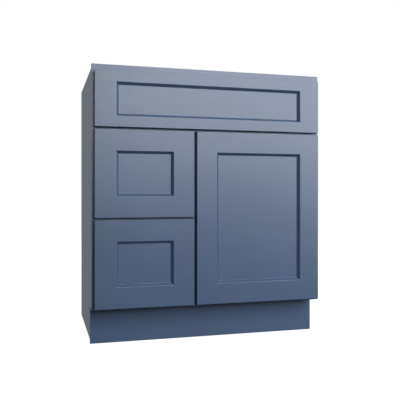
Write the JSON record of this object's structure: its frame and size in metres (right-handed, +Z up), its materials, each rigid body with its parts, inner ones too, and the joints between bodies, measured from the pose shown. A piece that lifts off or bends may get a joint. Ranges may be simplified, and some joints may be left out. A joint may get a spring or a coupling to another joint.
{
  "type": "bathroom vanity cabinet",
  "caption": "Painted floor-standing vanity base cabinet with a false front over the sink space, drawers beside a hinged door, and a toe kick.",
  "frame": {"origin": "on the floor under the middle of the whole cabinet's bounding box", "axes": "+Z up, +X to the right as seen from the front, +Y towards the wall behind, so the fronts face -Y"},
  "size_m": [0.762, 0.5548, 0.8763],
  "materials": {
    "blue_paint": "satin",
    "birch_plywood": "satin",
    "drawer_wood": "satin",
    "zinc_steel": "satin",
    "nickel_steel": "polished",
    "white_plastic": "satin"
  },
  "bodies": {
    "cabinet": {"side_panel_left": "blue_paint", "side_panel_right": "blue_paint", "bottom_panel": "birch_plywood", "back_panel": "birch_plywood", "toe_kick_board": "blue_paint", "frame_left_stile": "blue_paint", "frame_right_stile": "blue_paint", "frame_center_stile": "blue_paint", "frame_top_rail": "blue_paint", "frame_middle_rail": "blue_paint", "frame_bottom_rail": "blue_paint", "frame_drawer_rail": "blue_paint", "corner_bracket_front_left": "white_plastic", "corner_bracket_front_right": "white_plastic", "corner_bracket_back_right": "white_plastic", "corner_bracket_back_left": "white_plastic", "false_front_left_stile": "blue_paint", "false_front_right_stile": "blue_paint", "false_front_bottom_rail": "blue_paint", "false_front_top_rail": "blue_paint", "false_front_panel": "blue_paint", "lower_drawer_slide_left_rail": "zinc_steel", "lower_drawer_slide_right_rail": "zinc_steel", "upper_drawer_slide_left_rail": "zinc_steel", "upper_drawer_slide_right_rail": "zinc_steel", "lower_hinge_arm": "nickel_steel", "upper_hinge_arm": "nickel_steel"},
    "hinge_links": {"lower_hinge_link": "nickel_steel", "upper_hinge_link": "nickel_steel"},
    "door": {"door_left_stile": "blue_paint", "door_right_stile": "blue_paint", "door_bottom_rail": "blue_paint", "door_top_rail": "blue_paint", "door_panel": "blue_paint", "lower_hinge_cup": "nickel_steel", "upper_hinge_cup": "nickel_steel"},
    "upper_drawer": {"upper_drawer_front_left_stile": "blue_paint", "upper_drawer_front_right_stile": "blue_paint", "upper_drawer_front_bottom_rail": "blue_paint", "upper_drawer_front_top_rail": "blue_paint", "upper_drawer_front_panel": "blue_paint", "upper_drawer_box_front": "drawer_wood", "upper_drawer_box_back": "drawer_wood", "upper_drawer_box_left_side": "drawer_wood", "upper_drawer_box_right_side": "drawer_wood", "upper_drawer_box_bottom": "drawer_wood", "upper_drawer_slide_left_channel": "zinc_steel", "upper_drawer_slide_right_channel": "zinc_steel"},
    "lower_drawer": {"lower_drawer_front_left_stile": "blue_paint", "lower_drawer_front_right_stile": "blue_paint", "lower_drawer_front_bottom_rail": "blue_paint", "lower_drawer_front_top_rail": "blue_paint", "lower_drawer_front_panel": "blue_paint", "lower_drawer_box_front": "drawer_wood", "lower_drawer_box_back": "drawer_wood", "lower_drawer_box_left_side": "drawer_wood", "lower_drawer_box_right_side": "drawer_wood", "lower_drawer_box_bottom": "drawer_wood", "lower_drawer_slide_left_channel": "zinc_steel", "lower_drawer_slide_right_channel": "zinc_steel"}
  },
  "joints": [
    {"name": "upper_drawer_slide", "type": "slide", "parent": "cabinet", "child": "upper_drawer", "axis": [0, -1, 0], "range_m": [0, 0.34]},
    {"name": "lower_drawer_slide", "type": "slide", "parent": "cabinet", "child": "lower_drawer", "axis": [0, -1, 0], "range_m": [0, 0.34]},
    {"name": "hinge_link_swing", "type": "hinge", "parent": "cabinet", "child": "hinge_links", "pos_m": [0.34, -0.25998, 0.3976], "axis": [0, 0, 1], "range_deg": [-47.3, 0]},
    {"name": "door_swing", "type": "hinge", "parent": "hinge_links", "child": "door", "pos_m": [0.361, -0.25948, 0.3976], "axis": [0, 0, 1], "range_deg": [0, 152.25]}
  ],
  "couplings": [
    {"joint": "hinge_link_swing", "follows": "door_swing", "ratio": -0.31034}
  ]
}
